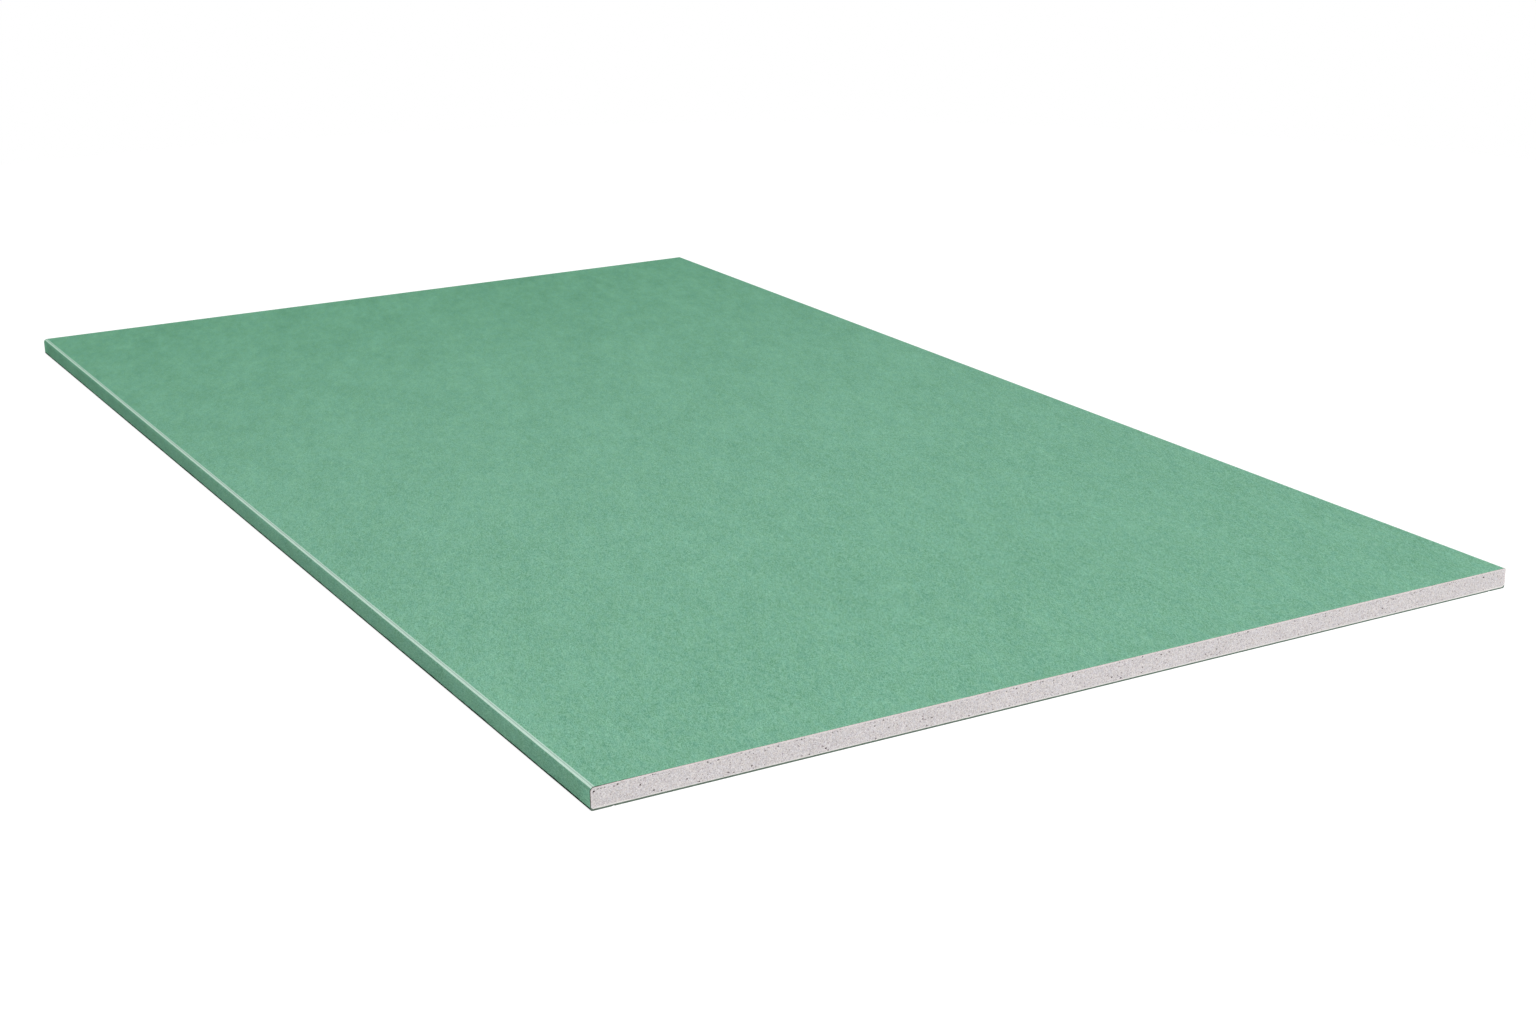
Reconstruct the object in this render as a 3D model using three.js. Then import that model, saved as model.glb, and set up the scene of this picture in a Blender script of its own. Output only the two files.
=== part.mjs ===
import * as THREE from 'three';

// Drywall sheet, moisture-resistant grade: a foamed gypsum core between two papers.
//
// Millimetres, +Z up. The sheet lies on its back, with its width along X, its length along Y and
// its green face up. The origin is the middle of the back, on the plane that the sheet lies on.
//
// The face paper covers the face, folds round both long edges and laps onto the back as a flap.
// The back paper covers the flaps' ends. At each flap the face paper steps up by the thickness
// of the back paper, so that both papers finish flush with the back. The two short ends are
// sawn, and show the core between the papers.

// Board
const BOARD_WIDTH = 600;
const BOARD_LENGTH = 1050;
const BOARD_THICKNESS = 12.5;

// Papers
const FACE_PAPER_THICKNESS = 0.4;
const BACK_PAPER_THICKNESS = 0.4;

// Folds of the face paper, as the radii of the core's arrises inside it: beside the face at each
// long edge, and beside the back at both
const LEFT_FACE_FOLD_RADIUS = 2.1;
const RIGHT_FACE_FOLD_RADIUS = 0.6;
const BACK_FOLD_RADIUS = 0.9;

// Flap of the face paper on the back, inwards from a long edge: the strip left bare, the slope
// that steps up over the back paper, and the strip that the back paper covers
const FLAP_REVEAL = 11;
const FLAP_STEP_RUN = 2;
const FLAP_OVERLAP = 9;

// Facets in each quarter-round fold
const FOLD_FACETS = 12;

// Half-widths of the back paper and of the gap between the two flaps
const BACK_PAPER_REACH = BOARD_WIDTH / 2 - FLAP_REVEAL - FLAP_STEP_RUN;
const FLAP_REACH = BACK_PAPER_REACH - FLAP_OVERLAP;

const QUARTER = Math.PI / 2;

const facePaperFinish = new THREE.MeshStandardMaterial({
  color: 0x7ab195,
  roughness: 0.82,
  metalness: 0,
});

const backPaperFinish = new THREE.MeshStandardMaterial({
  color: 0x7b847b,
  roughness: 0.9,
  metalness: 0,
});

const gypsumFinish = new THREE.MeshStandardMaterial({
  color: 0xd3cfcd,
  roughness: 0.97,
  metalness: 0,
});

// The line that the wrap follows in the board's cross-section, at a depth under the outer
// surface: from the end of the left flap, round the left long edge, over the face, round the
// right long edge and to the end of the right flap. Every fold keeps its centre at every depth.
function wrapLine(depth) {
  const side = BOARD_WIDTH / 2 - depth;
  const face = BOARD_THICKNESS - depth;
  const leftRadius = LEFT_FACE_FOLD_RADIUS + FACE_PAPER_THICKNESS - depth;
  const rightRadius = RIGHT_FACE_FOLD_RADIUS + FACE_PAPER_THICKNESS - depth;
  const backRadius = BACK_FOLD_RADIUS + FACE_PAPER_THICKNESS - depth;
  const stepFoot = BACK_PAPER_REACH + FLAP_STEP_RUN;
  const steppedUp = BACK_PAPER_THICKNESS + depth;

  const line = new THREE.Path();
  line.moveTo(-FLAP_REACH, steppedUp);
  line.lineTo(-BACK_PAPER_REACH, steppedUp);
  line.lineTo(-stepFoot, depth);
  line.absarc(-side + backRadius, depth + backRadius, backRadius, -QUARTER, -2 * QUARTER, true);
  line.absarc(-side + leftRadius, face - leftRadius, leftRadius, 2 * QUARTER, QUARTER, true);
  line.absarc(side - rightRadius, face - rightRadius, rightRadius, QUARTER, 0, true);
  line.absarc(side - backRadius, depth + backRadius, backRadius, 0, -QUARTER, true);
  line.lineTo(stepFoot, depth);
  line.lineTo(BACK_PAPER_REACH, steppedUp);
  line.lineTo(FLAP_REACH, steppedUp);
  return line.getPoints(FOLD_FACETS / 2);
}

function facePaperSection() {
  const outside = wrapLine(0);
  const inside = wrapLine(FACE_PAPER_THICKNESS);
  return new THREE.Shape([...outside, ...inside.reverse()]);
}

function backPaperSection() {
  return new THREE.Shape([
    new THREE.Vector2(-BACK_PAPER_REACH, 0),
    new THREE.Vector2(BACK_PAPER_REACH, 0),
    new THREE.Vector2(BACK_PAPER_REACH, BACK_PAPER_THICKNESS),
    new THREE.Vector2(-BACK_PAPER_REACH, BACK_PAPER_THICKNESS),
  ]);
}

// The core fills the wrap, and between the flaps it reaches down to the back paper.
function coreSection() {
  return new THREE.Shape([
    ...wrapLine(FACE_PAPER_THICKNESS),
    new THREE.Vector2(FLAP_REACH, BACK_PAPER_THICKNESS),
    new THREE.Vector2(-FLAP_REACH, BACK_PAPER_THICKNESS),
  ]);
}

// Runs a cross-section (X across, Y up) along the board's length, from sawn end to sawn end.
function alongBoard(section) {
  const geometry = new THREE.ExtrudeGeometry(section, {
    depth: BOARD_LENGTH,
    steps: 1,
    bevelEnabled: false,
  });
  const across = new THREE.Vector3(1, 0, 0);
  const up = new THREE.Vector3(0, 0, 1);
  const backwards = new THREE.Vector3(0, -1, 0);
  geometry.applyMatrix4(new THREE.Matrix4().makeBasis(across, up, backwards));
  geometry.translate(0, BOARD_LENGTH / 2, 0);
  return geometry;
}

function layer(name, section, finish) {
  const mesh = new THREE.Mesh(alongBoard(section), finish);
  mesh.name = name;
  return mesh;
}

const drywallSheet = new THREE.Group();
drywallSheet.add(
  layer('gypsum_core', coreSection(), gypsumFinish),
  layer('face_paper', facePaperSection(), facePaperFinish),
  layer('back_paper', backPaperSection(), backPaperFinish),
);

export default drywallSheet;
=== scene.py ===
"""Dresses a moisture-resistant drywall sheet: the sawn gypsum core, the green face paper that
wraps both long edges, the grey back paper, and the studio that it lies in.

Metres, +Z up, in the frame of the packed model: width along X, length along Y, green face up.
"""

import math
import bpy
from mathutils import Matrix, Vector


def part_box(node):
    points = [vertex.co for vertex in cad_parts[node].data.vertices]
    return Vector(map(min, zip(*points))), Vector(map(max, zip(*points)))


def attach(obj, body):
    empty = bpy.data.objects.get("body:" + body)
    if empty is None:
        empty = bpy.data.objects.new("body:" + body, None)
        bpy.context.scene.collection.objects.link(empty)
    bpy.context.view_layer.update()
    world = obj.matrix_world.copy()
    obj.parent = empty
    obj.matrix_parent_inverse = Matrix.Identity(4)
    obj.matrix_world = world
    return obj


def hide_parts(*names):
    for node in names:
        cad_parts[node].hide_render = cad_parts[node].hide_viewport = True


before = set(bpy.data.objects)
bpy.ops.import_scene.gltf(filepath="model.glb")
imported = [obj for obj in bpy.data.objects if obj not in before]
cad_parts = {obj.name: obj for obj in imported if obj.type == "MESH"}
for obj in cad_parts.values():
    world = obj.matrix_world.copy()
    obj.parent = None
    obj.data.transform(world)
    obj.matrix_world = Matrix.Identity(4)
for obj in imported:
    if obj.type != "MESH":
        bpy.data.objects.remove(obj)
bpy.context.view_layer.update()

from types import SimpleNamespace

import bpy
import numpy as np
from bpy.props import FloatProperty, FloatVectorProperty, IntProperty, PointerProperty
from bpy.types import NodeSocket, Operator, Panel, PropertyGroup
from mathutils import Matrix, Vector
from mathutils.geometry import delaunay_2d_cdt

bl_info = {
    "name": "Drywall Sheet",
    "version": (1, 0, 0),
    "blender": (4, 5, 0),
    "location": "View3D > Sidebar > Drywall",
    "description": "Builds a moisture-resistant drywall sheet and its studio",
    "category": "Object",
}

MM = 0.001
WHITE = (1.0, 1.0, 1.0)

# Sizes that the packed pieces give
SHEET_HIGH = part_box("face_paper")[1]
BACK_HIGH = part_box("back_paper")[1]
CORE_LOW, CORE_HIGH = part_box("gypsum_core")
HALF_WIDTH = SHEET_HIGH.x
HALF_LENGTH = SHEET_HIGH.y
THICKNESS = SHEET_HIGH.z
FACE_PAPER = SHEET_HIGH.z - CORE_HIGH.z
BACK_PAPER = BACK_HIGH.z
BACK_REACH = BACK_HIGH.x

# Lengths of one mesh cell, and the pitch of a sawn end's rows of points as a share of a cell
COARSE_STEP = 25 * MM
SIDE_STEP = 2 * MM
SAWN_STEP = 0.8 * MM
GRID_STEP = 0.78 * MM
ROW_PITCH = 0.866

# How far from a sawn end the fine cells of a paper reach, and where the coarse ones begin
SAWN_RIM = 1.2 * MM
COARSE_RIM = 6 * MM

# Width of the core's rim, over which the papers hold it nearly flush at a sawn end
FLUSH_RIM = 1.2 * MM

# Strips without common pores: beside the left fold, beside the right one, and over the flaps
PLAIN_LEFT = 9 * MM
PLAIN_RIGHT = 4 * MM
PLAIN_FOOT = 0.4 * MM

# Shares of the pores that lie under the face and under either paper, in layers about this deep
UNDER_FACE = 0.46
UNDER_PAPERS = 0.66
PORE_LAYER = 0.8 * MM

# Slits, in millimetres: from the pit to the first, from one to the next, and down from the face
SLIT_START = 2.1
SLIT_PITCH = 1.8
SLIT_DOWN = 1.2

# A pore: its rings from mouth to bottom, as shares of its radius and of its depth, its depth as
# a share of its radius, and its sides, which are fewer up to the small radius
PORE_RINGS = ((1.12, 0.0), (0.94, 0.34), (0.62, 0.82), (0.0, 1.0))
PORE_DEPTH = 1.25
SMALL_PORE = 0.3 * MM
PORE_SIDES = 12
SMALL_PORE_SIDES = 8

# Gypsum left between a pore and the next one, the outline, and the points of the plain grid
PORE_GAP = 0.1 * MM
OUTLINE_GAP = 0.12 * MM
GRID_GAP = 0.16 * MM

# Starting numbers for the papers' random fray
FACE_FRAY_SEED = 41
BACK_FRAY_SEED = 61

# The floor: how far it lies under the sheet, and for the camera its own glow and how light it is
# where lamps reach it
FLOOR_DROP = 0.02 * MM
FLOOR_GLOW = 0.90
FLOOR_SHADE = 0.24


# ---------------- settings


def setting(make, **usual):
    """A short call for settings of one sort: it takes a name, a description and a default."""

    def made(name, description, default, **extra):
        return make(name=name, description=description, default=default, **{**usual, **extra})

    return made


length = setting(FloatProperty, min=0.0, precision=5, subtype="DISTANCE", unit="LENGTH")
share = setting(FloatProperty, min=0.0, max=1.0, subtype="FACTOR")
stretch = setting(FloatProperty, min=1.0)
angle = setting(FloatProperty, subtype="ANGLE", unit="ROTATION")
power = setting(FloatProperty, min=0.0, unit="POWER")
focal = setting(FloatProperty, min=1.0, unit="CAMERA")
count = setting(IntProperty, min=0)
colour = setting(FloatVectorProperty, min=0.0, max=1.0, size=3, subtype="COLOR")
place = setting(FloatVectorProperty, size=3, subtype="TRANSLATION", unit="LENGTH")


class DrywallFoldSettings(PropertyGroup):
    """Folds and flaps of the face paper, as the packed model has them"""

    left_fold: length("Left face fold", "Core radius inside the left face fold", 2.1 * MM)
    right_fold: length("Right face fold", "Core radius inside the right face fold", 0.6 * MM)
    back_fold: length("Back fold", "Core radius inside both back folds", 0.9 * MM)
    step_run: length("Step run", "Width of the slope up over the back paper", 2.0 * MM)
    overlap: length("Overlap", "Width of each flap that the back paper covers", 9.0 * MM)
    facets: count("Facets", "Facets in each quarter-round fold", 12, min=2)


class DrywallCoreSettings(PropertyGroup):
    """Sawn gypsum core"""

    dust: colour("Dust", "Colour of the light grains", (0.90, 0.87, 0.86))
    shade: colour("Grain shade", "Colour of the dark grains", (0.49, 0.42, 0.45))
    warm: colour("Warm", "Colour of the gypsum's warmer patches", (0.719, 0.669, 0.645))
    cool: colour("Cool", "Colour of the gypsum's cooler patches", (0.690, 0.669, 0.697))
    # Painted shade: the colour at the bottom of a pore
    hollow: colour("Hollow", "Colour at the bottom of a pore", (0.11, 0.075, 0.08))
    pores: count("Pores", "Open pores in each sawn end", 200)
    bubbles: count("Bubbles", "Small foam bubbles cut open in each sawn end", 560)
    pore_radius: length("Pore radius", "Radius of a common pore", 0.43 * MM)
    bubble_radius: length("Bubble radius", "Radius of a common foam bubble", 0.2 * MM)
    corner_pit_in: length("Corner pit in", "How far it lies from the core's left side", 1.9 * MM)
    corner_pit_down: length("Corner pit down", "How far it lies from the core's face", 2.3 * MM)
    corner_pit_radius: length("Corner pit radius", "Radius of the corner pit", 0.62 * MM)
    slits: count("Slits", "Slits beside the corner pit", 3)
    slit_radius: length("Slit radius", "Radius of a round pore as large as a slit", 0.45 * MM)
    slit_stretch: stretch("Slit stretch", "How much a slit is drawn out, and squeezed across", 1.8)
    saw_depth: length("Saw marks", "Depth of the saw's marks across an end", 0.05 * MM)
    seed: count("Seed", "Layout of the pores and grains", 7)


class DrywallCutSettings(PropertyGroup):
    """Sawn edges of the papers, what the saw has left beside them, and painted shade at the foot and
    at the left fold
    """

    inner_ply: colour("Inner ply", "Colour of the face paper's inner plies", (0.80, 0.695, 0.685))
    # The outer ply's cut is drawn dark, partly as painted shade
    outer_ply: colour("Outer ply", "Colour of the face paper's outer ply", (0.050, 0.062, 0.042))
    rim: colour("Rim", "Colour of the dense gypsum under the face paper", (0.96, 0.87, 0.865))
    low_rim: colour("Low rim", "Colour of the dense gypsum over the back", (0.93, 0.895, 0.875))
    rim_width: length("Rim width", "Width of the dense gypsum", 0.55 * MM)
    # Painted shade: a dark hair line behind the paper at the left fold
    gap: colour("Gap", "Colour of the hair gap inside the left fold", (0.10, 0.075, 0.07))
    # Foot colours and heights: partly the papers' dark cut fibres, partly painted shade where the
    # sheet meets the floor
    left_foot: colour("Left foot", "Colour of the foot's fibres at the left", (0.145, 0.195, 0.155))
    right_foot: colour("Right foot", "Colour of the foot's fibres at the right", (0.130, 0.203, 0.158))
    left_height: length("Left height", "How high the foot reaches at the left", 1.0 * MM)
    right_height: length("Right height", "How high the foot reaches at the right", 0.82 * MM)
    left_shaded_skin: length("Left skin", "Thickness of the outer ply down the left edge", 0.38 * MM)
    right_skin: length("Right skin", "Thickness of the outer ply down the right edge", 0.08 * MM)
    face_skin: length("Face skin", "Thickness of the outer ply on the face", 0.05 * MM)
    skin_fade: length("Skin fade", "How far the ply thins out from an arris", 22 * MM)


class DrywallFacePaperSettings(PropertyGroup):
    """Green face paper"""

    bluish: colour("Bluish green", "Colour of the cooler clouds", (0.186, 0.442, 0.311))
    yellowish: colour("Yellowish green", "Colour of the warmer clouds", (0.192, 0.445, 0.292))
    felt: colour("Felt", "What the felt's lights add to the paper's colour", (0.25, 0.44, 0.345))
    fibre: colour("Fibre", "Colour of the light fibres", (0.28, 0.555, 0.40))
    # The crease colours are partly the fold's rubbed pale ply and partly a painted highlight along the
    # long arris.
    crease_low: colour("Crease, low", "Worn line low on a long arris", (0.60, 0.805, 0.69))
    crease_mid: colour("Crease, middle", "Wear between the two worn lines", (0.395, 0.555, 0.47))
    crease_high: colour("Crease, high", "Worn line high on a long arris", (0.51, 0.71, 0.605))
    # Painted shade: the colour of the arris where the sheet meets the floor
    foot_shade: colour("Grime", "Colour of the arris that the sheet rests on", (0.002, 0.017, 0.007))
    fray: length("Fray", "How far the fibres of a sawn edge stand back", 0.10 * MM)
    felt_stretch: stretch("Felt stretch", "How much longer the felt's marks are than wide", 2.6)
    felt_turn: angle("Felt turn", "How far the felt turns from the sheet's length", math.radians(20))
    # Painted light: a tint for the far end's colour
    far_light_tint: colour("Far tint", "What scales the paper's colour at the far end", (0.90, 1.0, 0.935))
    # Painted shade on the long sides at the far end
    far_side: share("Far side", "How light the long sides are at the far end", 0.86)
    far_grain: share("Far grain", "Strength of the fine grain at the far end", 0.24)
    # Painted shade at the near end
    near_shade: share("Near shade", "How light the paper is at the near end", 0.925)


class DrywallBackPaperSettings(PropertyGroup):
    """Grey back paper"""

    grey: colour("Grey", "Colour of the back paper", (0.245, 0.270, 0.240))
    fleck: colour("Fleck", "Colour of the recycled flecks", (0.11, 0.13, 0.12))
    fray: length("Fray", "How far the fibres of a cut edge stand back", 0.12 * MM)


class DrywallStudioSettings(PropertyGroup):
    """Floor, lamps, world and camera"""

    ambient: share("Ambient", "Level of the soft light from all round", 0.5, max=2.0)
    key_power: power("Key power", "Power of the key softbox", 29.5)
    key_size: length("Key size", "Side of the key softbox", 1.1)
    key_place: place("Key place", "Where the key softbox hangs", (-0.15, -1.35, 2.1))
    fill_power: power("Fill power", "Power of the low softbox on the right", 2.7)
    fill_size: length("Fill size", "Side of the low softbox", 0.6)
    fill_place: place("Fill place", "Where the low softbox stands", (1.3, -1.3, 0.5))
    floor: colour("Floor", "Colour of the floor", (0.80, 0.80, 0.80))
    floor_radius: length("Floor radius", "Radius of the floor disc", 1.5)
    camera_place: place("Camera place", "Where the camera stands", (-0.743726, -1.488527, 0.492513))
    heading: angle("Heading", "Turn of the view from +Y towards +X", math.radians(29.418))
    tilt: angle("Tilt", "How far the camera looks down", math.radians(17.989))
    roll: angle("Roll", "Turn of the camera about its own axis", math.radians(-0.782))
    lens: focal("Lens", "Focal length of the camera, in millimetres", 56.83)


# ---------------- cross-section


def steps_in(span, step):
    """How many steps of about this length fill a span."""
    return max(1, round(span / step))


def half_wrap(folds, face_fold, depth, step):
    """The left half of the wrap's line in the cross-section, at a depth under the outer surface:
    from the end of its flap round the long edge towards the middle of the face. With it goes
    the turn of each point: 1 on the long side and beyond, less round the fold, 0 where the face
    begins, and then below 0 by the millimetres from there."""
    side, face = HALF_WIDTH, THICKNESS
    face_radius = face_fold + FACE_PAPER
    back_radius = folds.back_fold + FACE_PAPER
    face_centre = (-side + face_radius, face - face_radius)
    back_centre = (-side + back_radius, back_radius)
    line, turn = [], []

    def run(a, b, cell, at):
        pieces = steps_in(math.dist(a, b), cell)
        for k in range(pieces):
            line.append((a[0] + (b[0] - a[0]) * k / pieces, a[1] + (b[1] - a[1]) * k / pieces))
            turn.append(at)

    def bend(centre, radius, start, end, first, last):
        for k in range(folds.facets):
            t = math.radians(start + (end - start) * k / folds.facets)
            line.append((centre[0] + radius * math.cos(t), centre[1] + radius * math.sin(t)))
            turn.append(first + (last - first) * k / folds.facets)

    corners = [
        (-(BACK_REACH - folds.overlap), BACK_PAPER + depth),
        (-BACK_REACH, BACK_PAPER + depth),
        (-(BACK_REACH + folds.step_run), depth),
        (back_centre[0], depth),
    ]
    for a, b in zip(corners, corners[1:]):
        run(a, b, step, 1.0)
    bend(back_centre, back_radius - depth, 270, 180, 1.0, 1.0)
    run((-side + depth, back_radius), (-side + depth, face_centre[1]), min(step, SIDE_STEP), 1.0)
    bend(face_centre, face_radius - depth, 180, 90, 1.0, 0.0)
    first_on_face = len(line)
    run((face_centre[0], face - depth), (0.0, face - depth), step, 0.0)
    for k in range(first_on_face, len(line)):
        turn[k] = (face_centre[0] - line[k][0]) / MM
    return line, turn


def wrap_line(folds, depth, step):
    """The wrap's line at a depth, from the end of the left flap round to the end of the right
    one, and the turn of each point. Lines of one step have like points at every depth."""
    left, left_turn = half_wrap(folds, folds.left_fold, depth, step)
    right, right_turn = half_wrap(folds, folds.right_fold, depth, step)
    line = left + [(0.0, THICKNESS - depth)] + [(-x, z) for x, z in reversed(right)]
    middle_turn = -HALF_WIDTH / MM
    return np.array(line), np.array(left_turn + [middle_turn] + right_turn[::-1])


def core_line(folds, step):
    """The outline of the core's cross-section, which closes from its last point to its first."""
    wrap, _ = wrap_line(folds, FACE_PAPER, step)
    reach = BACK_REACH - folds.overlap
    pieces = steps_in(2 * reach, step)
    base = [(reach - 2 * reach * k / pieces, BACK_PAPER) for k in range(pieces + 1)]
    return np.vstack([wrap, base])


def back_line(depth, step):
    """The back paper's cross-section line at a depth over its outer side, from -X to +X."""
    x = np.linspace(-BACK_REACH, BACK_REACH, 1 + steps_in(2 * BACK_REACH, step))
    return np.column_stack([x, np.full(len(x), depth)])


def distances(line):
    """Length along a line from its first point to each of its points."""
    return np.concatenate([[0.0], np.cumsum(np.linalg.norm(np.diff(line, axis=0), axis=1))])


def stations(step):
    """Places along the sheet, between its sawn ends, where the coarse rows stand."""
    inner = HALF_LENGTH - COARSE_RIM
    return np.linspace(-inner, inner, 1 + steps_in(2 * inner, step))


# ---------------- mesh building


def add_object(name, data):
    """Puts an object in the scene."""
    made = bpy.data.objects.new(name, data)
    bpy.context.scene.collection.objects.link(made)
    return made


class Patchwork:
    """Collects vertices and faces, with a finish number for each face."""

    def __init__(self):
        self.places, self.faces, self.finishes = [], [], []

    def row(self, line, y):
        """Adds the points of a cross-section line at y, which is one number or one for each."""
        first = len(self.places)
        y = np.broadcast_to(y, len(line))
        self.places += [(x, v, z) for (x, z), v in zip(line, y)]
        return list(range(first, len(self.places)))

    def face(self, corners, finish, flip=False):
        self.faces.append(corners[::-1] if flip else corners)
        self.finishes.append(finish)

    def strip(self, a, b, finish, flip=False):
        """Quads between two rows of like length."""
        for k in range(len(a) - 1):
            self.face((a[k], a[k + 1], b[k + 1], b[k]), finish, flip)

    def stitch(self, a, at_a, b, at_b, finish, flip=False):
        """Triangles between two rows of unlike length, which run the same way."""
        i, j = 0, 0
        while i < len(a) - 1 or j < len(b) - 1:
            if j == len(b) - 1 or (i < len(a) - 1 and at_a[i + 1] <= at_b[j + 1]):
                self.face((a[i], a[i + 1], b[j]), finish, flip)
                i += 1
            else:
                self.face((a[i], b[j + 1], b[j]), finish, flip)
                j += 1

    def build(self, name, materials, smooth_angle=30.0):
        mesh = bpy.data.meshes.new(name)
        mesh.from_pydata(self.places, [], self.faces)
        for material in materials:
            mesh.materials.append(material)
        mesh.polygons.foreach_set("material_index", self.finishes)
        mesh.shade_smooth()
        mesh.set_sharp_from_angle(angle=math.radians(smooth_angle))
        mesh.validate()
        mesh.update()
        return add_object(name, mesh)


def closed(row):
    """A row that ends with its first point again."""
    return [*row, row[0]]


def add_values(piece, name, values):
    """Stores one number for each vertex, which the material reads by this name."""
    layer = piece.data.attributes.new(name, "FLOAT", "POINT")
    layer.data.foreach_set("value", np.asarray(values, np.float32))


def ripples(points, size, waves, rng):
    """A smooth random field over 2-D points, about -1 to 1, with features of about this size."""
    total = np.zeros(len(points))
    for _ in range(waves):
        heading, phase = rng.uniform(0, math.tau, 2)
        pitch = size * rng.uniform(0.7, 1.6)
        along = points[:, 0] * math.cos(heading) + points[:, 1] * math.sin(heading)
        total += np.cos(math.tau * along / pitch + phase)
    return total / math.sqrt(waves * 2)


# ---------------- gypsum core


def pore_layout(core, rng):
    """Pores and bubbles of one sawn end as rows of x, z, radius and stretch. Many of the pores
    lie just under the papers. A pit and a few slits beside it lie inside the left fold."""
    low, high = CORE_LOW.z, CORE_HIGH.z
    pit_x, pit_z = CORE_LOW.x + core.corner_pit_in, high - core.corner_pit_down
    found = [(pit_x, pit_z, core.corner_pit_radius, 1.0)]
    for k in range(core.slits):
        x = pit_x + (SLIT_START + SLIT_PITCH * k + rng.uniform(-0.25, 0.25)) * MM
        z = high - (SLIT_DOWN + rng.uniform(0.0, 0.2)) * MM
        radius = core.slit_radius * rng.uniform(0.75, 1.05)
        found.append((x, z, radius, core.slit_stretch * rng.uniform(0.8, 1.1)))

    def crowded(x, z, radius):
        return any(math.hypot(x - a, z - b) < 1.3 * (radius + r) + PORE_GAP for a, b, r, _ in found)

    for number, common, layered in (
        (core.pores, core.pore_radius, True),
        (core.bubbles, core.bubble_radius, False),
    ):
        made = 0
        while made < number:
            radius = common * rng.uniform(0.7, 1.35)
            x = rng.uniform(CORE_LOW.x + PLAIN_LEFT, CORE_HIGH.x - PLAIN_RIGHT)
            edge = 1.25 * radius + OUTLINE_GAP
            layer = rng.random()
            if layered and layer < UNDER_FACE:
                z = high - edge - abs(rng.normal(0, PORE_LAYER))
            elif layered and layer < UNDER_PAPERS:
                z = low + PLAIN_FOOT + edge + abs(rng.normal(0, PORE_LAYER))
            else:
                z = rng.uniform(low + 0.5 * MM + edge, high - edge)
            if low + PLAIN_FOOT + edge <= z <= high - edge and not crowded(x, z, radius):
                found.append((x, z, radius, rng.uniform(0.85, 1.2)))
                made += 1
    return found


def room_inside(points, folds):
    """How far each point of a sawn end lies inside the core's outline, below 0 outside it."""
    x, z = points[:, 0], points[:, 1]
    reach = BACK_REACH - folds.overlap
    flap_top = CORE_LOW.z + FACE_PAPER
    floor = np.where(np.abs(x) < reach, CORE_LOW.z, flap_top)
    room = np.minimum(CORE_HIGH.x - np.abs(x), np.minimum(CORE_HIGH.z - z, z - floor))
    for outward, radius, upper in (
        (-x, folds.left_fold, True),
        (x, folds.right_fold, True),
        (np.abs(x), folds.back_fold, False),
    ):
        out_x = outward - (CORE_HIGH.x - radius)
        out_z = z - (CORE_HIGH.z - radius) if upper else FACE_PAPER + radius - z
        corner = (out_x > 0) & (out_z > 0)
        room = np.where(corner, np.minimum(room, radius - np.hypot(out_x, out_z)), room)
    return room


def plain_grid(folds, pores, rng):
    """Points over a sawn end between its pores, in shaken rows."""
    rows = int((CORE_HIGH.z - CORE_LOW.z) / (GRID_STEP * ROW_PITCH)) + 1
    columns = int((CORE_HIGH.x - CORE_LOW.x) / GRID_STEP) + 1
    grid = np.array([
        (CORE_LOW.x + (c + 0.5 * (r % 2)) * GRID_STEP, CORE_LOW.z + r * GRID_STEP * ROW_PITCH)
        for r in range(rows)
        for c in range(columns)
    ])
    grid += rng.uniform(-0.24, 0.24, grid.shape) * GRID_STEP
    grid = grid[room_inside(grid, folds) > 0.42 * GRID_STEP]
    clear = np.ones(len(grid), bool)
    for x, z, radius, drawn in pores:
        reach = 1.2 * radius * max(drawn, 1.0) + GRID_GAP
        clear &= np.hypot(grid[:, 0] - x, grid[:, 1] - z) >= reach
    return grid[clear]


def sawn_end(core, folds, outline, rng):
    """The points of a sawn end, as x and z, with how far each lies inside the end's plane and
    how deep it is in a pore, from 0 to 1. The first points are the outline's."""
    pores = pore_layout(core, rng)
    flat = np.vstack([outline, plain_grid(folds, pores, rng)])
    points, sink, hollow = [flat], [np.zeros(len(flat))], [np.zeros(len(flat))]
    for x, z, radius, drawn in pores:
        wobble, turn = rng.uniform(0.0, 0.16), rng.uniform(0, math.tau)
        by_fold = x < CORE_LOW.x + PLAIN_LEFT
        # How dark a pore's painted shade is; pores beside the left fold are darkest
        gloom = 1.0 if by_fold else rng.uniform(0.2, 1.0) ** 1.5
        sides = PORE_SIDES if radius > SMALL_PORE else SMALL_PORE_SIDES
        for ring, depth in PORE_RINGS:
            corners = sides if ring > 0.7 else max(1, round(sides * ring))
            bearing = np.arange(corners) * math.tau / corners + turn * (1 + ring)
            reach = ring * radius * (1 + wobble * np.cos(2 * bearing + turn))
            points.append(np.column_stack([
                x + reach * np.cos(bearing) * drawn,
                z + reach * np.sin(bearing) / drawn,
            ]))
            sink.append(np.full(corners, depth * radius * PORE_DEPTH))
            hollow.append(np.full(corners, depth * gloom))
    return np.vstack(points), np.concatenate(sink), np.concatenate(hollow)


def saw_relief(core, room, points, rng):
    """How far the saw and crumbled grains take each point of an end inwards, 0 or more. The
    papers hold the core's rim nearly flush."""
    across = np.column_stack([points[:, 0], np.zeros(len(points))])
    marks = ripples(across, 3.5 * MM, 24, rng) + 0.5 * ripples(across, 1.2 * MM, 24, rng)
    grains = ripples(points, 1.7 * MM, 60, rng)
    fine = rng.uniform(0, 1, len(points))
    crumbs = np.clip(ripples(points, 5 * MM, 50, rng) - 0.75, 0, None)
    relief = core.saw_depth * (0.9 + 0.35 * marks + 0.5 * grains + 0.5 * fine + 2.2 * crumbs)
    return np.clip(relief, 0.0, None) * np.clip(room / FLUSH_RIM, 0.1, 1.0)


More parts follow.
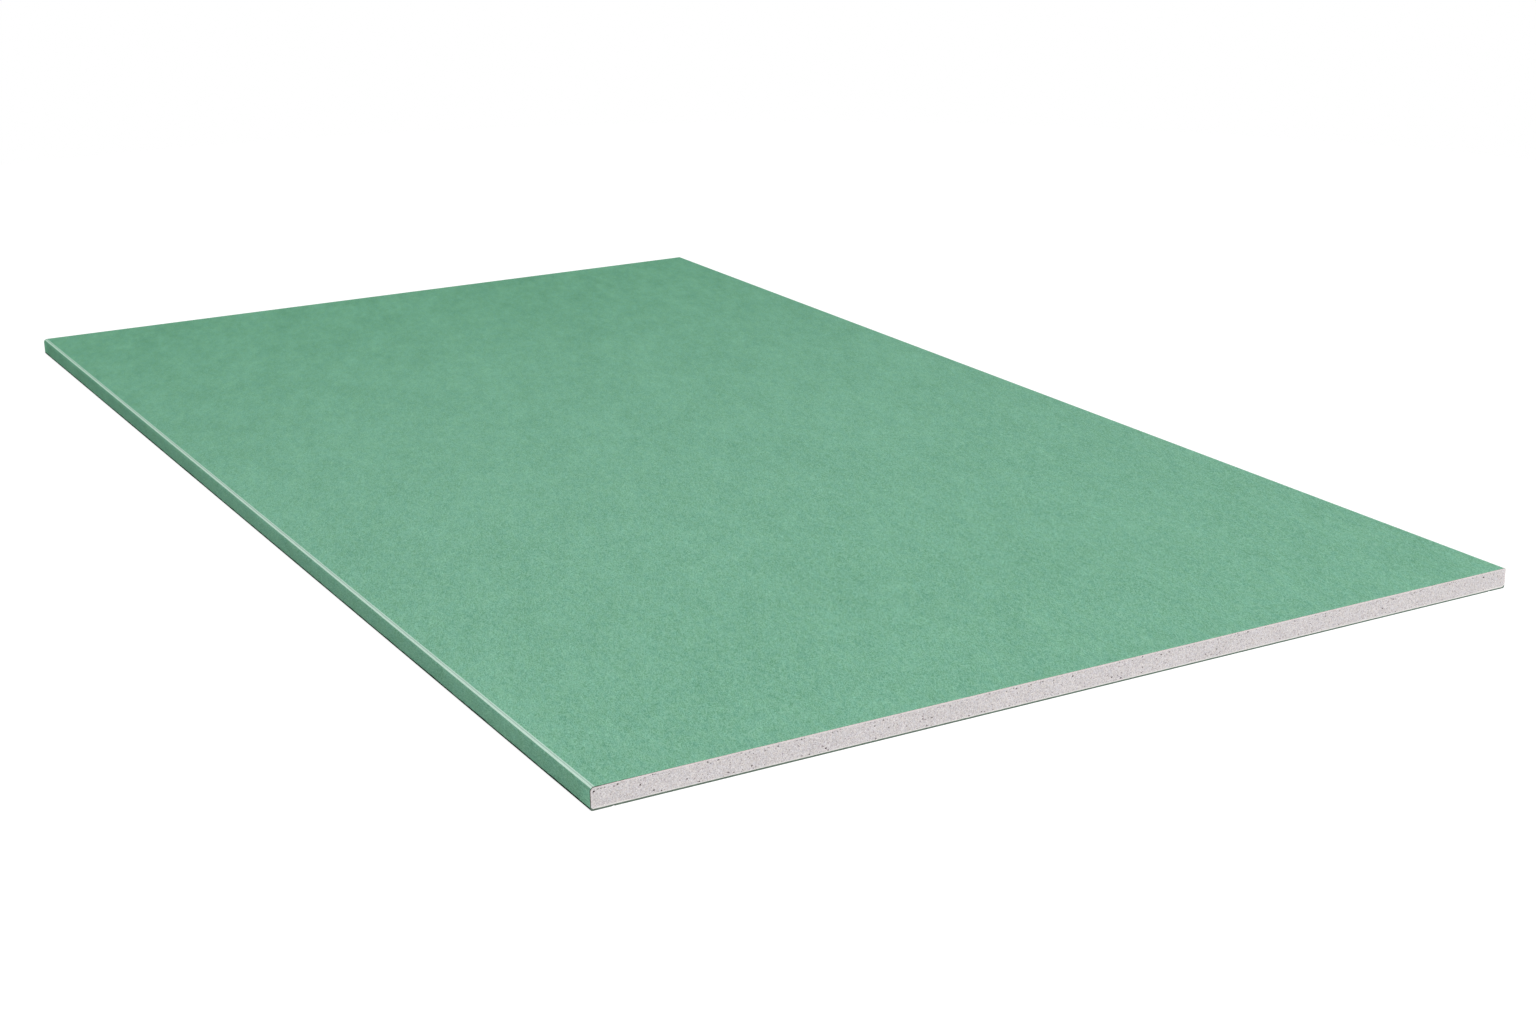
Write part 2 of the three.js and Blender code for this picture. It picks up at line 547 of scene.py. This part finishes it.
def build_core(core, folds, cut):
    fine, coarse = core_line(folds, SAWN_STEP), core_line(folds, COARSE_STEP)
    fine_at, coarse_at = distances(closed(fine)), distances(closed(coarse))
    work = Patchwork()
    hollows, rooms, ends = [], [], []
    for side in (-1, 1):
        rng = np.random.default_rng(core.seed + (side > 0))
        points, sink, hollow = sawn_end(core, folds, fine, rng)
        room = room_inside(points, folds)
        relief = saw_relief(core, room, points, rng) + sink
        row = work.row(points, side * (HALF_LENGTH - relief))
        hollows.append(hollow)
        rooms.append(np.clip(room, 0, None))
        corners = [Vector(point) for point in points]
        flat, _, faces, *_ = delaunay_2d_cdt(corners, [], [list(range(len(fine)))], 1, 1e-7)
        if len(flat) != len(points):
            raise RuntimeError(f"a sawn end has {len(points)} points and came back with {len(flat)}")
        for a, b, c in faces:
            work.face((row[a], row[c], row[b]) if side > 0 else (row[a], row[b], row[c]), 0)
        ends.append(closed(row[:len(fine)]))

    rows = [closed(work.row(coarse, y)) for y in stations(2 * COARSE_STEP)]
    for a, b in zip(rows, rows[1:]):
        work.strip(a, b, 0)
    work.stitch(ends[0], fine_at, rows[0], coarse_at, 0)
    work.stitch(rows[-1], coarse_at, ends[1], fine_at, 0)
    piece = work.build("gypsum_core_sawn", [gypsum_material(core, cut)], smooth_angle=50.0)
    along = np.zeros(len(rows) * len(coarse))
    add_values(piece, "hollow", np.concatenate([*hollows, along]))
    add_values(piece, "room", np.concatenate([*rooms, along]))
    return piece


# ---------------- papers


def fibres_back(fray, line_at, depth, seed):
    """How far the fibres of both sawn lips of a paper stand back along its line, at a depth."""
    spots = np.column_stack([line_at, np.full(len(line_at), depth)])
    lips = []
    for far_end in (False, True):
        rng = np.random.default_rng(seed + far_end + round(depth / MM * 10))
        soft = ripples(spots, 9 * MM, 20, rng)
        hair = rng.uniform(0, 1, len(line_at)) ** 2
        lips.append(fray * np.clip(0.28 + 0.2 * soft + 0.7 * hair, 0, 1))
    return lips


def lay_skin(work, fine, fine_at, coarse, coarse_at, lips_back, finish, flip):
    """One side of a paper, which a flip turns over. Gives its rows from near lip to far lip."""
    ends = []
    for side, back in zip((-1, 1), lips_back):
        rim = work.row(fine, side * (HALF_LENGTH - SAWN_RIM))
        ends.append((work.row(fine, side * (HALF_LENGTH - back)), rim))
    (near_lip, near_rim), (far_lip, far_rim) = ends
    rows = [work.row(coarse, y) for y in stations(COARSE_STEP)]
    for a, b in zip(rows, rows[1:]):
        work.strip(a, b, finish, flip)
    work.strip(near_lip, near_rim, finish, flip)
    work.stitch(near_rim, fine_at, rows[0], coarse_at, finish, flip)
    work.stitch(rows[-1], coarse_at, far_rim, fine_at, finish, flip)
    work.strip(far_rim, far_lip, finish, flip)
    return [near_lip, near_rim, *rows, far_rim, far_lip]


def close_edges(work, plain, flipped, finish):
    """Faces down both long edges of a paper, between its plain skin's rows and its flipped one's."""
    for a, b, c, d in zip(plain, plain[1:], flipped, flipped[1:]):
        work.face((a[0], b[0], d[0], c[0]), finish)
        work.face((a[-1], c[-1], d[-1], b[-1]), finish)


def ply_skin(cut, line, turn):
    """Thickness of the outer ply at a cut along the wrap's line, widened down the left edge as painted
    shade.
    """
    fade = np.exp(np.minimum(turn, 0) * MM / cut.skin_fade)
    edge = np.where(line[:, 0] < 0, cut.left_shaded_skin, cut.right_skin)
    return cut.face_skin + (edge - cut.face_skin) * fade


def build_face_paper(paper, folds, cut):
    green, outer_ply, inner_ply = 0, 1, 2
    work = Patchwork()
    line, turn = wrap_line(folds, 0, SAWN_STEP)
    coarse_line, coarse_turn = wrap_line(folds, 0, COARSE_STEP)
    line_at, coarse_at = distances(line), distances(coarse_line)
    coarse_at = coarse_at * line_at[-1] / coarse_at[-1]

    skins, backs, turns = [], [], []
    for depth, finish in ((0.0, green), (FACE_PAPER, inner_ply)):
        fine, coarse = (wrap_line(folds, depth, step)[0] for step in (SAWN_STEP, COARSE_STEP))
        lips_back = fibres_back(paper.fray, line_at, depth, FACE_FRAY_SEED)
        rows = lay_skin(work, fine, line_at, coarse, coarse_at, lips_back, finish, depth > 0)
        skins.append(rows)
        backs.append(lips_back)
        turns += [turn] * 4 + [coarse_turn] * (len(rows) - 4)
    close_edges(work, *skins, inner_ply)

    # The plies at both sawn ends, where the outer one's skin gives way to the inner ones
    across = wrap_line(folds, FACE_PAPER, SAWN_STEP)[0] - line
    between = line + across * (ply_skin(cut, line, turn) / FACE_PAPER)[:, None]
    for near, lip, outer_back, inner_back in zip((True, False), (0, -1), *backs):
        outer, inner = skins[0][lip], skins[1][lip]
        middle_back = 0.5 * (outer_back + inner_back)
        middle = work.row(between, (-1 if near else 1) * (HALF_LENGTH - middle_back))
        turns.append(turn)
        work.strip(outer, middle, outer_ply, near)
        work.strip(middle, inner, inner_ply, near)
        work.face((outer[0], middle[0], inner[0]), inner_ply, near)
        work.face((outer[-1], middle[-1], inner[-1]), inner_ply, not near)

    materials = [
        green_paper_material(paper),
        cut_paper_material("green_paper_cut", cut, cut.outer_ply, 0.25),
        cut_paper_material("inner_ply", cut, cut.inner_ply, 0.10),
    ]
    piece = work.build("face_paper_wrap", materials)
    add_values(piece, "fold_turn", np.concatenate(turns))
    return piece


def build_back_paper(paper, cut):
    grey, cut_grey = 0, 1
    work = Patchwork()
    skins = []
    for depth in (0.0, BACK_PAPER):
        fine, coarse = back_line(depth, SAWN_STEP), back_line(depth, COARSE_STEP)
        fine_at, coarse_at = fine[:, 0], coarse[:, 0]
        lips_back = fibres_back(paper.fray, fine_at, depth, BACK_FRAY_SEED)
        skins.append(lay_skin(work, fine, fine_at, coarse, coarse_at, lips_back, grey, depth == 0))
    low, high = skins
    close_edges(work, high, low, cut_grey)
    work.strip(low[0], high[0], cut_grey)
    work.strip(low[-1], high[-1], cut_grey, flip=True)
    materials = [
        grey_paper_material(paper),
        # The back paper's cut takes the left foot colour, which is partly painted shade.
        cut_paper_material("grey_paper_cut", cut, cut.left_foot, 0.25),
    ]
    return work.build("back_paper_liner", materials)


# ---------------- materials


class Nodes:
    """The nodes of a material or a world, with short calls to add and join them."""

    def __init__(self, owner):
        self.owner = owner
        owner.use_nodes = True
        self.tree = owner.node_tree
        self.tree.nodes.clear()

    def node(self, kind, *inputs, **settings):
        """Adds a node with its settings and its first inputs. None leaves an input alone."""
        made = self.tree.nodes.new(kind)
        for key, value in settings.items():
            setattr(made, key, value)
        for value, socket in zip(inputs, made.inputs):
            self.join(value, socket)
        return made

    def out(self, kind, *inputs, **settings):
        """Adds a node and gives its first output."""
        return self.node(kind, *inputs, **settings).outputs[0]

    def join(self, value, socket):
        """Links an output to a socket, or sets the socket to a number, a place or a colour."""
        if isinstance(value, NodeSocket):
            self.tree.links.new(value, socket)
        elif hasattr(value, "__len__") and len(value) < len(socket.default_value):
            socket.default_value = (*value, 1.0)
        elif value is not None:
            socket.default_value = value


class Look(Nodes):
    """The nodes of one of the sheet's materials."""

    def __init__(self, name):
        super().__init__(bpy.data.materials.new(name))
        self.places = self.node("ShaderNodeTexCoord").outputs["Object"]

    def xyz(self):
        return self.node("ShaderNodeSeparateXYZ", self.places).outputs

    def stored(self, name):
        """A number that the mesh stores for each vertex."""
        return self.node("ShaderNodeAttribute", attribute_name=name).outputs["Fac"]

    def maths(self, operation, *values):
        return self.out("ShaderNodeMath", *values, operation=operation)

    def times(self, a, b):
        return self.maths("MULTIPLY", a, b)

    def scaled(self, value, low, high, to_low=0.0, to_high=1.0, way="LINEAR"):
        """value taken from low..high to another range, and held to it."""
        inputs = (value, low, high, to_low, to_high)
        return self.out("ShaderNodeMapRange", *inputs, interpolation_type=way)

    def eased(self, *ranges):
        """The same with soft ends."""
        return self.scaled(*ranges, way="SMOOTHSTEP")

    def inwards(self, across, half):
        """How far in from the nearer of two edges, which stand this far from the middle."""
        return self.maths("SUBTRACT", half, self.maths("ABSOLUTE", across))

    def away(self, value, middle):
        """How far a value is from another, either way."""
        return self.maths("ABSOLUTE", self.maths("SUBTRACT", value, middle))

    def mixed(self, factor, a, b):
        """Colour a where the factor is 0, and b where it is 1."""
        made = self.node("ShaderNodeMix", data_type="RGBA")
        sockets = {socket.identifier: socket for socket in (*made.inputs, *made.outputs)}
        for name, value in (("Factor_Float", factor), ("A_Color", a), ("B_Color", b)):
            self.join(value, sockets[name])
        return sockets["Result_Color"]

    def blended(self, operation, *values):
        return self.out("ShaderNodeVectorMath", *values, operation=operation)

    def toned(self, base, factor):
        """A colour made lighter or darker by a factor."""
        return self.blended("SCALE", base, None, None, factor)

    def added(self, base, amount, other):
        """A colour with an amount of another added to it, or taken from it."""
        return self.blended("MULTIPLY_ADD", other, amount, base)

    def drawn_out(self, where, turn, along, across):
        """Coordinates in which a feature of size 1 is long one way and narrow across it."""
        inputs = (where, None, (0, 0, turn), (along, across, across))
        return self.out("ShaderNodeMapping", *inputs, vector_type="TEXTURE")

    def noise(self, size, detail=0.0, where=None, shift=0.0):
        """Soft noise, about 0.5, with features of this size in metres."""
        inputs = (where or self.places, shift or None, 1.0 / size, detail)
        dimensions = "4D" if shift else "3D"
        return self.out("ShaderNodeTexNoise", *inputs, noise_dimensions=dimensions)

    def weighted(self, start, *parts):
        """start plus each value's distance from a half, times its weight."""
        total = start
        for value, weight in parts:
            centred = self.maths("MULTIPLY_ADD", value, weight, -0.5 * weight)
            total = self.maths("ADD", total, centred)
        return total

    def surface(self, base, roughness, relief, depth, specular):
        """Makes the material: its colour and roughness, and a relief of this depth."""
        bump = self.node("ShaderNodeBump")
        bump.inputs["Distance"].default_value = depth
        self.join(relief, bump.inputs["Height"])
        made = self.node("ShaderNodeBsdfPrincipled")
        made.inputs["Specular IOR Level"].default_value = specular
        self.join(base, made.inputs["Base Color"])
        self.join(roughness, made.inputs["Roughness"])
        self.join(bump.outputs[0], made.inputs["Normal"])
        self.node("ShaderNodeOutputMaterial", made.outputs[0])
        return self.owner


def fibre_threads(look, where, width, reach, turns, shift):
    """Short curved threads, 0 between them and 1 along them."""
    bend = look.noise(2.2 * reach, where=where).node.outputs["Color"]
    swing = look.added(where, (1.4 * reach,) * 3, bend)
    total = None
    for k, turn in enumerate(turns):
        laid = look.drawn_out(swing, turn, reach, width)
        crest = look.eased(look.noise(1.0, where=laid, shift=shift + 3.7 * k), 0.60, 0.74)
        total = crest if total is None else look.maths("MAXIMUM", total, crest)
    return total


def curled_lines(look, where, size, shift):
    """Broken lines that curl about, 1 along them and 0 elsewhere."""
    field = look.noise(size, 0.0, where, shift)
    line = look.eased(look.away(field, 0.5), 0.0, 0.06, 1.0, 0.0)
    gate = look.noise(1.6 * size, 0.0, where, shift + 2.0)
    return look.times(line, look.eased(gate, 0.44, 0.56))


def felt_marks(look, paper):
    """The marks of the green paper's felt at every scale, drawn out along the felt."""
    heading = math.radians(90) - paper.felt_turn
    felt = look.drawn_out(look.places, heading, paper.felt_stretch, 1.0)
    return SimpleNamespace(
        broad=look.noise(110 * MM, 1.0, felt, 0.7),
        clouds=look.noise(42 * MM, 1.0, felt),
        drifts=look.noise(17 * MM, 1.0, felt, 3.9),
        mottle=look.noise(7.5 * MM, 1.0, felt, 1.3),
        flocks=look.noise(3.4 * MM, 0.0, felt, 2.1),
        grain=look.noise(0.55 * MM, 0.0, felt, 4.4),
        hue=look.noise(14 * MM, 2.0, felt, 6.2),
        speck=look.noise(2.6 * MM, 0.0, felt, 8.8),
        threads=fibre_threads(look, felt, 0.36 * MM, 2.6 * MM, (0.3, 1.25, 2.2, 2.9), 11.0),
        curls=curled_lines(look, felt, 1.7 * MM, 31.0),
        creases=curled_lines(look, felt, 2.4 * MM, 37.0),
    )


def felted_green(look, paper, felt, y):
    """The green paper's own colour, with less grain and more cloud towards the far end."""
    hue = look.weighted(0.5, (felt.hue, 0.5), (felt.speck, 1.2))
    tint = look.mixed(look.scaled(hue, 0.25, 0.75), paper.bluish, paper.yellowish)
    soft = look.weighted(0.0, (felt.drifts, 0.165), (felt.mottle, 0.15), (felt.flocks, 0.10))
    crisp = look.weighted(0.0, (felt.grain, 0.86), (felt.curls, 0.19), (felt.creases, -0.10))
    sharp = look.scaled(y, -0.3 * HALF_LENGTH, HALF_LENGTH, 1.0, paper.far_grain)
    cloudy = look.scaled(y, -0.5 * HALF_LENGTH, HALF_LENGTH, 1.0, 1.55)
    tone = look.maths("MULTIPLY_ADD", crisp, sharp, look.times(soft, cloudy))
    tone = look.weighted(tone, (felt.broad, 0.07), (felt.clouds, 0.095))
    tone = look.times(tone, look.maths("MULTIPLY_ADD", tone, 0.5, 1.0))
    light = look.times(felt.threads, look.times(sharp, 0.7))
    return look.mixed(light, look.added(tint, tone, paper.felt), paper.fibre)


def aged_and_shaded_green(look, paper, body, y, turn):
    """What wear does to the paper's lightness, with painted light and shade along the sheet and round
    its folds.
    """
    # Paper is a little lighter where the saw has rubbed it beside both sawn ends, and the long sides
    # carry painted light there.
    end = look.inwards(y, HALF_LENGTH)
    on_side = look.scaled(turn, 0.8, 1.0)
    face_rub = look.eased(end, 0.6 * MM, 3.0 * MM, 1.05, 1.0)
    painted_side_light = look.eased(end, 1.0 * MM, 15.0 * MM, 0.25, 0.0)
    body = look.toned(body, look.maths("MULTIPLY_ADD", painted_side_light, on_side, face_rub))

    # Painted shade: the paper is a little darker at the near end, and its long sides at the far end.
    near = look.eased(y, -HALF_LENGTH, 0.3 * HALF_LENGTH, paper.near_shade, 1.0)
    far_side_shade = look.scaled(y, -HALF_LENGTH, 0.6 * HALF_LENGTH, 0.0, 1.0 - paper.far_side)
    side = look.maths("MULTIPLY_ADD", far_side_shade, look.times(on_side, -1.0), 1.0)
    body = look.toned(look.toned(body, near), side)

    # Painted shade: a fold is darkest about two thirds of its way down to the side.
    return look.toned(body, look.eased(look.away(turn, 0.62), 0.12, 0.36, 0.90, 1.0))


def worn_crease_and_highlight(look, paper, body, turn, tone):
    """The fold at a long arris has stretched and rubbed the green ply pale, and it carries a painted
    highlight too: two light lines with a duller one between them."""
    wander = look.weighted(turn, (look.noise(9 * MM, 2.0, shift=15.0), 0.14))
    from_face = look.eased(turn, -0.55, -0.20)
    to_side = look.eased(turn, 0.465, 0.525, 1.0, 0.0)
    low_line = look.eased(wander, 0.20, 0.27)
    high_line = look.eased(wander, 0.02, 0.10, 1.0, 0.0)
    pale = look.mixed(low_line, paper.crease_mid, paper.crease_low)
    pale = look.mixed(high_line, pale, paper.crease_high)
    return look.mixed(look.times(from_face, to_side), body, look.toned(pale, tone))


def painted_foot_shade(look, paper, felt, x, z, body):
    """Painted shade along the arris that the sheet rests on, where it meets the floor, with a ragged
    edge.
    """
    ragged = look.weighted(
        0.0, (felt.flocks, 0.6 * MM), (felt.drifts, 0.4 * MM), (felt.speck, 0.5 * MM)
    )
    height = look.maths("ADD", z, ragged)
    inset = look.maths("ADD", look.inwards(x, HALF_WIDTH), ragged)
    foot = look.eased(height, 1.40 * MM, 2.15 * MM, 1.0, 0.0)
    beside = look.eased(inset, 0.8 * MM, 1.9 * MM, 1.0, 0.0)
    return look.mixed(look.times(foot, beside), body, paper.foot_shade)


def green_paper_material(paper):
    look = Look("green_face_paper")
    x, y, z = look.xyz()
    turn = look.stored("fold_turn")
    felt = felt_marks(look, paper)
    body = aged_and_shaded_green(look, paper, felted_green(look, paper, felt, y), y, turn)
    far = look.maths("POWER", look.scaled(y, -0.4 * HALF_LENGTH, HALF_LENGTH), 2.0)
    # Painted highlight: the crease grows lighter towards the far end, and its tone also varies at
    # random with the felt.
    worn_and_lit = look.maths("MULTIPLY_ADD", far, 0.07, 1.0)
    worn_and_lit = look.weighted(worn_and_lit, (felt.mottle, 0.10), (felt.grain, 0.22))
    body = worn_crease_and_highlight(look, paper, body, turn, worn_and_lit)
    # Painted light: the far end's colour is tinted to stand in for how light falls there.
    body = look.blended("MULTIPLY", body, look.mixed(far, WHITE, paper.far_light_tint))
    body = painted_foot_shade(look, paper, felt, x, z, body)
    rough = look.weighted(0.88, (felt.grain, 0.10), (felt.threads, -0.05))
    relief = look.weighted(0.0, (felt.flocks, 0.7), (felt.grain, 0.5))
    relief = look.maths("ADD", relief, look.times(felt.threads, 0.3))
    return look.surface(body, rough, relief, 0.05 * MM, 0.06)


def with_dark_foot(look, cut, x, z, body):
    """Dark paper fibres that the saw drags over the foot of the cut, drawn higher as painted shade
    where the sheet meets the floor, and higher still beside the long sides.
    """
    across = look.scaled(x, -HALF_WIDTH, HALF_WIDTH)
    top = look.scaled(across, 0.0, 1.0, cut.left_height, cut.right_height)
    inset = look.inwards(x, HALF_WIDTH)
    top = look.maths("ADD", top, look.eased(inset, 0.2 * MM, 1.8 * MM, 0.9 * MM, 0.0))
    above = look.maths("SUBTRACT", z, top)
    above = look.weighted(above, (look.noise(3.5 * MM, 2.0, shift=21.0), 0.22 * MM))
    dark = look.scaled(above, -0.1 * MM, 0.1 * MM, 1.0, 0.0)
    dragged = look.drawn_out(look.places, 0.0, 1.4 * MM, 0.3 * MM)
    strands = look.noise(1.0, 2.0, dragged, 23.0)
    tone = look.weighted(1.0, (strands, 2.2), (look.noise(5 * MM, 1.0, shift=25.0), 0.5))
    foot = look.toned(look.mixed(across, cut.left_foot, cut.right_foot), tone)
    return look.mixed(dark, body, foot)


def cut_paper_material(name, cut, shade, spread):
    """The fibres at a cut of paper."""
    look = Look(name)
    x, _, z = look.xyz()
    strands = look.noise(1.0, 2.0, look.drawn_out(look.places, 0.0, 1.2 * MM, 0.12 * MM))
    lumps = look.noise(2.5 * MM, 1.0, shift=2.5)
    tone = look.weighted(1.0, (strands, spread), (lumps, spread))
    body = with_dark_foot(look, cut, x, z, look.toned(shade, tone))
    rough = look.weighted(0.92, (strands, 0.1))
    return look.surface(body, rough, strands, 0.05 * MM, 0.05)


def grey_paper_material(paper):
    look = Look("grey_back_paper")
    clouds = look.noise(50 * MM, 2.0)
    mottle = look.noise(7 * MM, 2.0, shift=1.9)
    grain = look.noise(0.9 * MM, 1.0, shift=3.1)
    threads = fibre_threads(look, look.places, 0.4 * MM, 4 * MM, (0.1, 1.0, 1.9, 2.7), 5.0)
    flecks = look.eased(look.noise(1.6 * MM, 1.0, shift=9.4), 0.66, 0.72)
    tone = look.weighted(1.0, (clouds, 0.08), (mottle, 0.14), (grain, 0.24), (threads, 0.16))
    body = look.mixed(look.times(flecks, 0.6), look.toned(paper.grey, tone), paper.fleck)
    rough = look.weighted(0.88, (grain, 0.10))
    felt = look.weighted(0.0, (mottle, 0.4), (grain, 0.5), (threads, 0.4))
    return look.surface(body, rough, felt, 0.08 * MM, 0.2)


def gypsum_material(core, cut):
    look = Look("gypsum")
    x, _, z = look.xyz()
    hollow, room = look.stored("hollow"), look.stored("room")
    grain = look.noise(0.62 * MM, 1.0)
    coarse = look.noise(2.6 * MM, 1.0, shift=1.7)
    patches = look.noise(14 * MM, 2.0, shift=3.3)
    streaks = look.noise(1.0, 1.0, look.drawn_out(look.places, 0.0, 1.2 * MM, 9 * MM))
    hue = look.noise(1.1 * MM, 1.0, shift=2.9)
    crumbs = look.noise(0.62 * MM, 0.0, shift=5.1)
    motes = look.noise(0.78 * MM, 0.0, shift=7.7)

    body = look.mixed(look.scaled(hue, 0.30, 0.70), core.cool, core.warm)
    body = look.mixed(look.times(look.eased(crumbs, 0.56, 0.68), 0.5), body, core.dust)
    body = look.mixed(look.times(look.eased(motes, 0.40, 0.26), 0.82), body, core.shade)
    tone = look.weighted(1.0, (grain, 0.78), (coarse, 0.02), (patches, 0.10), (streaks, 0.12))
    body = look.toned(body, tone)

    # The gypsum is denser and paler in a rim against the papers, and more so over the back.
    width = look.times(look.scaled(z, 1.0 * MM, 3.0 * MM, 2.0, 1.0), cut.rim_width)
    rim = look.eased(look.maths("DIVIDE", room, width), 0.75, 1.25, 1.0, 0.0)
    rim = look.times(rim, look.scaled(z, 1.0 * MM, 3.0 * MM, 0.80, 0.45))
    pale = look.mixed(look.scaled(z, 2.0 * MM, 4.0 * MM), cut.low_rim, cut.rim)
    body = look.mixed(rim, body, pale)

    # Painted shade: a dark hair line behind the paper at the left fold, and pores painted darker at
    # their bottoms.
    by_fold = look.eased(look.maths("ADD", x, HALF_WIDTH), 2.5 * MM, 11 * MM, 1.0, 0.0)
    gap = look.times(look.scaled(room, 0.15 * MM, 0.42 * MM, 0.34, 0.0), by_fold)
    body = look.mixed(gap, body, cut.gap)
    depth = look.times(look.eased(hollow, 0.10, 0.8), 0.95)
    body = with_dark_foot(look, cut, x, z, look.mixed(depth, body, core.hollow))
    powder = look.weighted(0.0, (grain, 0.8), (crumbs, 0.5), (coarse, 0.5))
    return look.surface(body, 0.95, powder, 0.12 * MM, 0.1)


# ---------------- studio


def white_if_seen(nodes, plain, white):
    """The white shader for camera, glossy and transmission rays, and the plain one for others."""
    path = nodes.node("ShaderNodeLightPath").outputs
    seen = path["Is Camera Ray"]
    for ray in ("Is Glossy Ray", "Is Transmission Ray"):
        seen = nodes.out("ShaderNodeMath", seen, path[ray], operation="MAXIMUM")
    return nodes.out("ShaderNodeMixShader", seen, plain, white)


def white_world(ambient):
    """Soft light from all round, which the camera sees as white."""
    nodes = Nodes(bpy.data.worlds.new("studio_air"))
    soft = nodes.out("ShaderNodeBackground", WHITE, ambient)
    white = nodes.out("ShaderNodeBackground", WHITE, 1.0)
    nodes.node("ShaderNodeOutputWorld", white_if_seen(nodes, soft, white))
    bpy.context.scene.world = nodes.owner


def floor_material(shade):
    """A pale floor. The camera sees it as white, with the sheet's soft shadow on it."""
    nodes = Nodes(bpy.data.materials.new("studio_floor"))
    plain = nodes.out("ShaderNodeBsdfDiffuse", shade)
    shadowed = nodes.out("ShaderNodeBsdfDiffuse", (FLOOR_SHADE,) * 3)
    glow = nodes.out("ShaderNodeEmission", WHITE, FLOOR_GLOW)
    both = nodes.out("ShaderNodeAddShader", shadowed, glow)
    nodes.node("ShaderNodeOutputMaterial", white_if_seen(nodes, plain, both))
    return nodes.owner


def floor_disc(radius, material):
    """A flat disc of rings, just under the sheet."""
    rings, spokes = 12, 96
    turn = np.arange(spokes) * math.tau / spokes
    work = Patchwork()
    middle = work.row([(0.0, 0.0)], 0.0)[0]
    circles = []
    for reach in radius * np.arange(1, rings + 1) / rings:
        line = np.column_stack([reach * np.cos(turn), np.zeros(spokes)])
        circles.append(closed(work.row(line, reach * np.sin(turn))))
    for a, b in zip(circles[0], circles[0][1:]):
        work.face((middle, a, b), 0)
    for inner, outer in zip(circles, circles[1:]):
        work.strip(outer, inner, 0)
    floor = work.build("studio_floor", [material])
    floor.location.z = -FLOOR_DROP
    return floor


def softbox(name, stand, size, watts):
    """A square lamp that faces the sheet's middle."""
    lamp = bpy.data.lights.new(name, "AREA")
    lamp.shape = "SQUARE"
    lamp.size = size
    lamp.energy = watts
    made = add_object(name, lamp)
    made.location = stand
    made.rotation_euler = (-Vector(stand)).to_track_quat("-Z", "Y").to_euler()


def place_camera(studio):
    camera = bpy.data.cameras.new("camera")
    camera.lens = studio.lens
    camera.sensor_width = 36.0
    camera.clip_start, camera.clip_end = 0.05, 50.0
    holder = add_object("camera", camera)
    holder.matrix_world = (
        Matrix.Translation(studio.camera_place)
        @ Matrix.Rotation(-studio.heading, 4, "Z")
        @ Matrix.Rotation(math.radians(90) - studio.tilt, 4, "X")
        @ Matrix.Rotation(studio.roll, 4, "Z")
    )
    bpy.context.scene.camera = holder


# ---------------- operators


class DRYWALL_OT_core(Operator):
    """Builds the gypsum core, with its two sawn ends"""

    bl_idname = "drywall.core"
    bl_label = "Gypsum Core"

    def execute(self, context):
        scene = context.scene
        piece = build_core(scene.drywall_core, scene.drywall_folds, scene.drywall_cut)
        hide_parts("gypsum_core")
        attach(piece, "root")
        return {"FINISHED"}


class DRYWALL_OT_face_paper(Operator):
    """Builds the green face paper, with its folds, flaps and cut plies"""

    bl_idname = "drywall.face_paper"
    bl_label = "Face Paper"

    def execute(self, context):
        scene = context.scene
        paper, folds, cut = scene.drywall_face_paper, scene.drywall_folds, scene.drywall_cut
        piece = build_face_paper(paper, folds, cut)
        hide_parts("face_paper")
        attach(piece, "root")
        return {"FINISHED"}


class DRYWALL_OT_back_paper(Operator):
    """Builds the grey back paper over the flaps' ends"""

    bl_idname = "drywall.back_paper"
    bl_label = "Back Paper"

    def execute(self, context):
        piece = build_back_paper(context.scene.drywall_back_paper, context.scene.drywall_cut)
        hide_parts("back_paper")
        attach(piece, "root")
        return {"FINISHED"}


class DRYWALL_OT_studio(Operator):
    """Builds the floor, the lamps, the world and the camera"""

    bl_idname = "drywall.studio"
    bl_label = "Studio"

    def execute(self, context):
        studio = context.scene.drywall_studio
        floor = floor_disc(studio.floor_radius, floor_material(studio.floor))
        white_world(studio.ambient)
        softbox("key_softbox", studio.key_place, studio.key_size, studio.key_power)
        softbox("fill_softbox", studio.fill_place, studio.fill_size, studio.fill_power)
        place_camera(studio)
        context.scene.view_settings.view_transform = "Standard"
        return {"FINISHED"}


class DRYWALL_PT_sheet(Panel):
    """Lists the operators that build the sheet, and all its settings"""

    bl_idname = "DRYWALL_PT_sheet"
    bl_label = "Drywall Sheet"
    bl_space_type = "VIEW_3D"
    bl_region_type = "UI"
    bl_category = "Drywall"

    def draw(self, context):
        for operator in OPERATORS:
            self.layout.operator(operator.bl_idname)
        for name, group in GROUPS.items():
            box = self.layout.box()
            box.label(text=group.__doc__)
            for setting_name in group.__annotations__:
                box.prop(getattr(context.scene, name), setting_name)


GROUPS = {
    "drywall_folds": DrywallFoldSettings,
    "drywall_core": DrywallCoreSettings,
    "drywall_cut": DrywallCutSettings,
    "drywall_face_paper": DrywallFacePaperSettings,
    "drywall_back_paper": DrywallBackPaperSettings,
    "drywall_studio": DrywallStudioSettings,
}

OPERATORS = (
    DRYWALL_OT_core,
    DRYWALL_OT_face_paper,
    DRYWALL_OT_back_paper,
    DRYWALL_OT_studio,
)

CLASSES = (*GROUPS.values(), *OPERATORS, DRYWALL_PT_sheet)


def register():
    for made in CLASSES:
        bpy.utils.register_class(made)
    for name, group in GROUPS.items():
        setattr(bpy.types.Scene, name, PointerProperty(type=group))


def unregister():
    for name in GROUPS:
        delattr(bpy.types.Scene, name)
    for made in reversed(CLASSES):
        bpy.utils.unregister_class(made)


def main():
    register()
    bpy.ops.drywall.core()
    bpy.ops.drywall.face_paper()
    bpy.ops.drywall.back_paper()
    bpy.ops.drywall.studio()


if __name__ == "__main__":
    main()
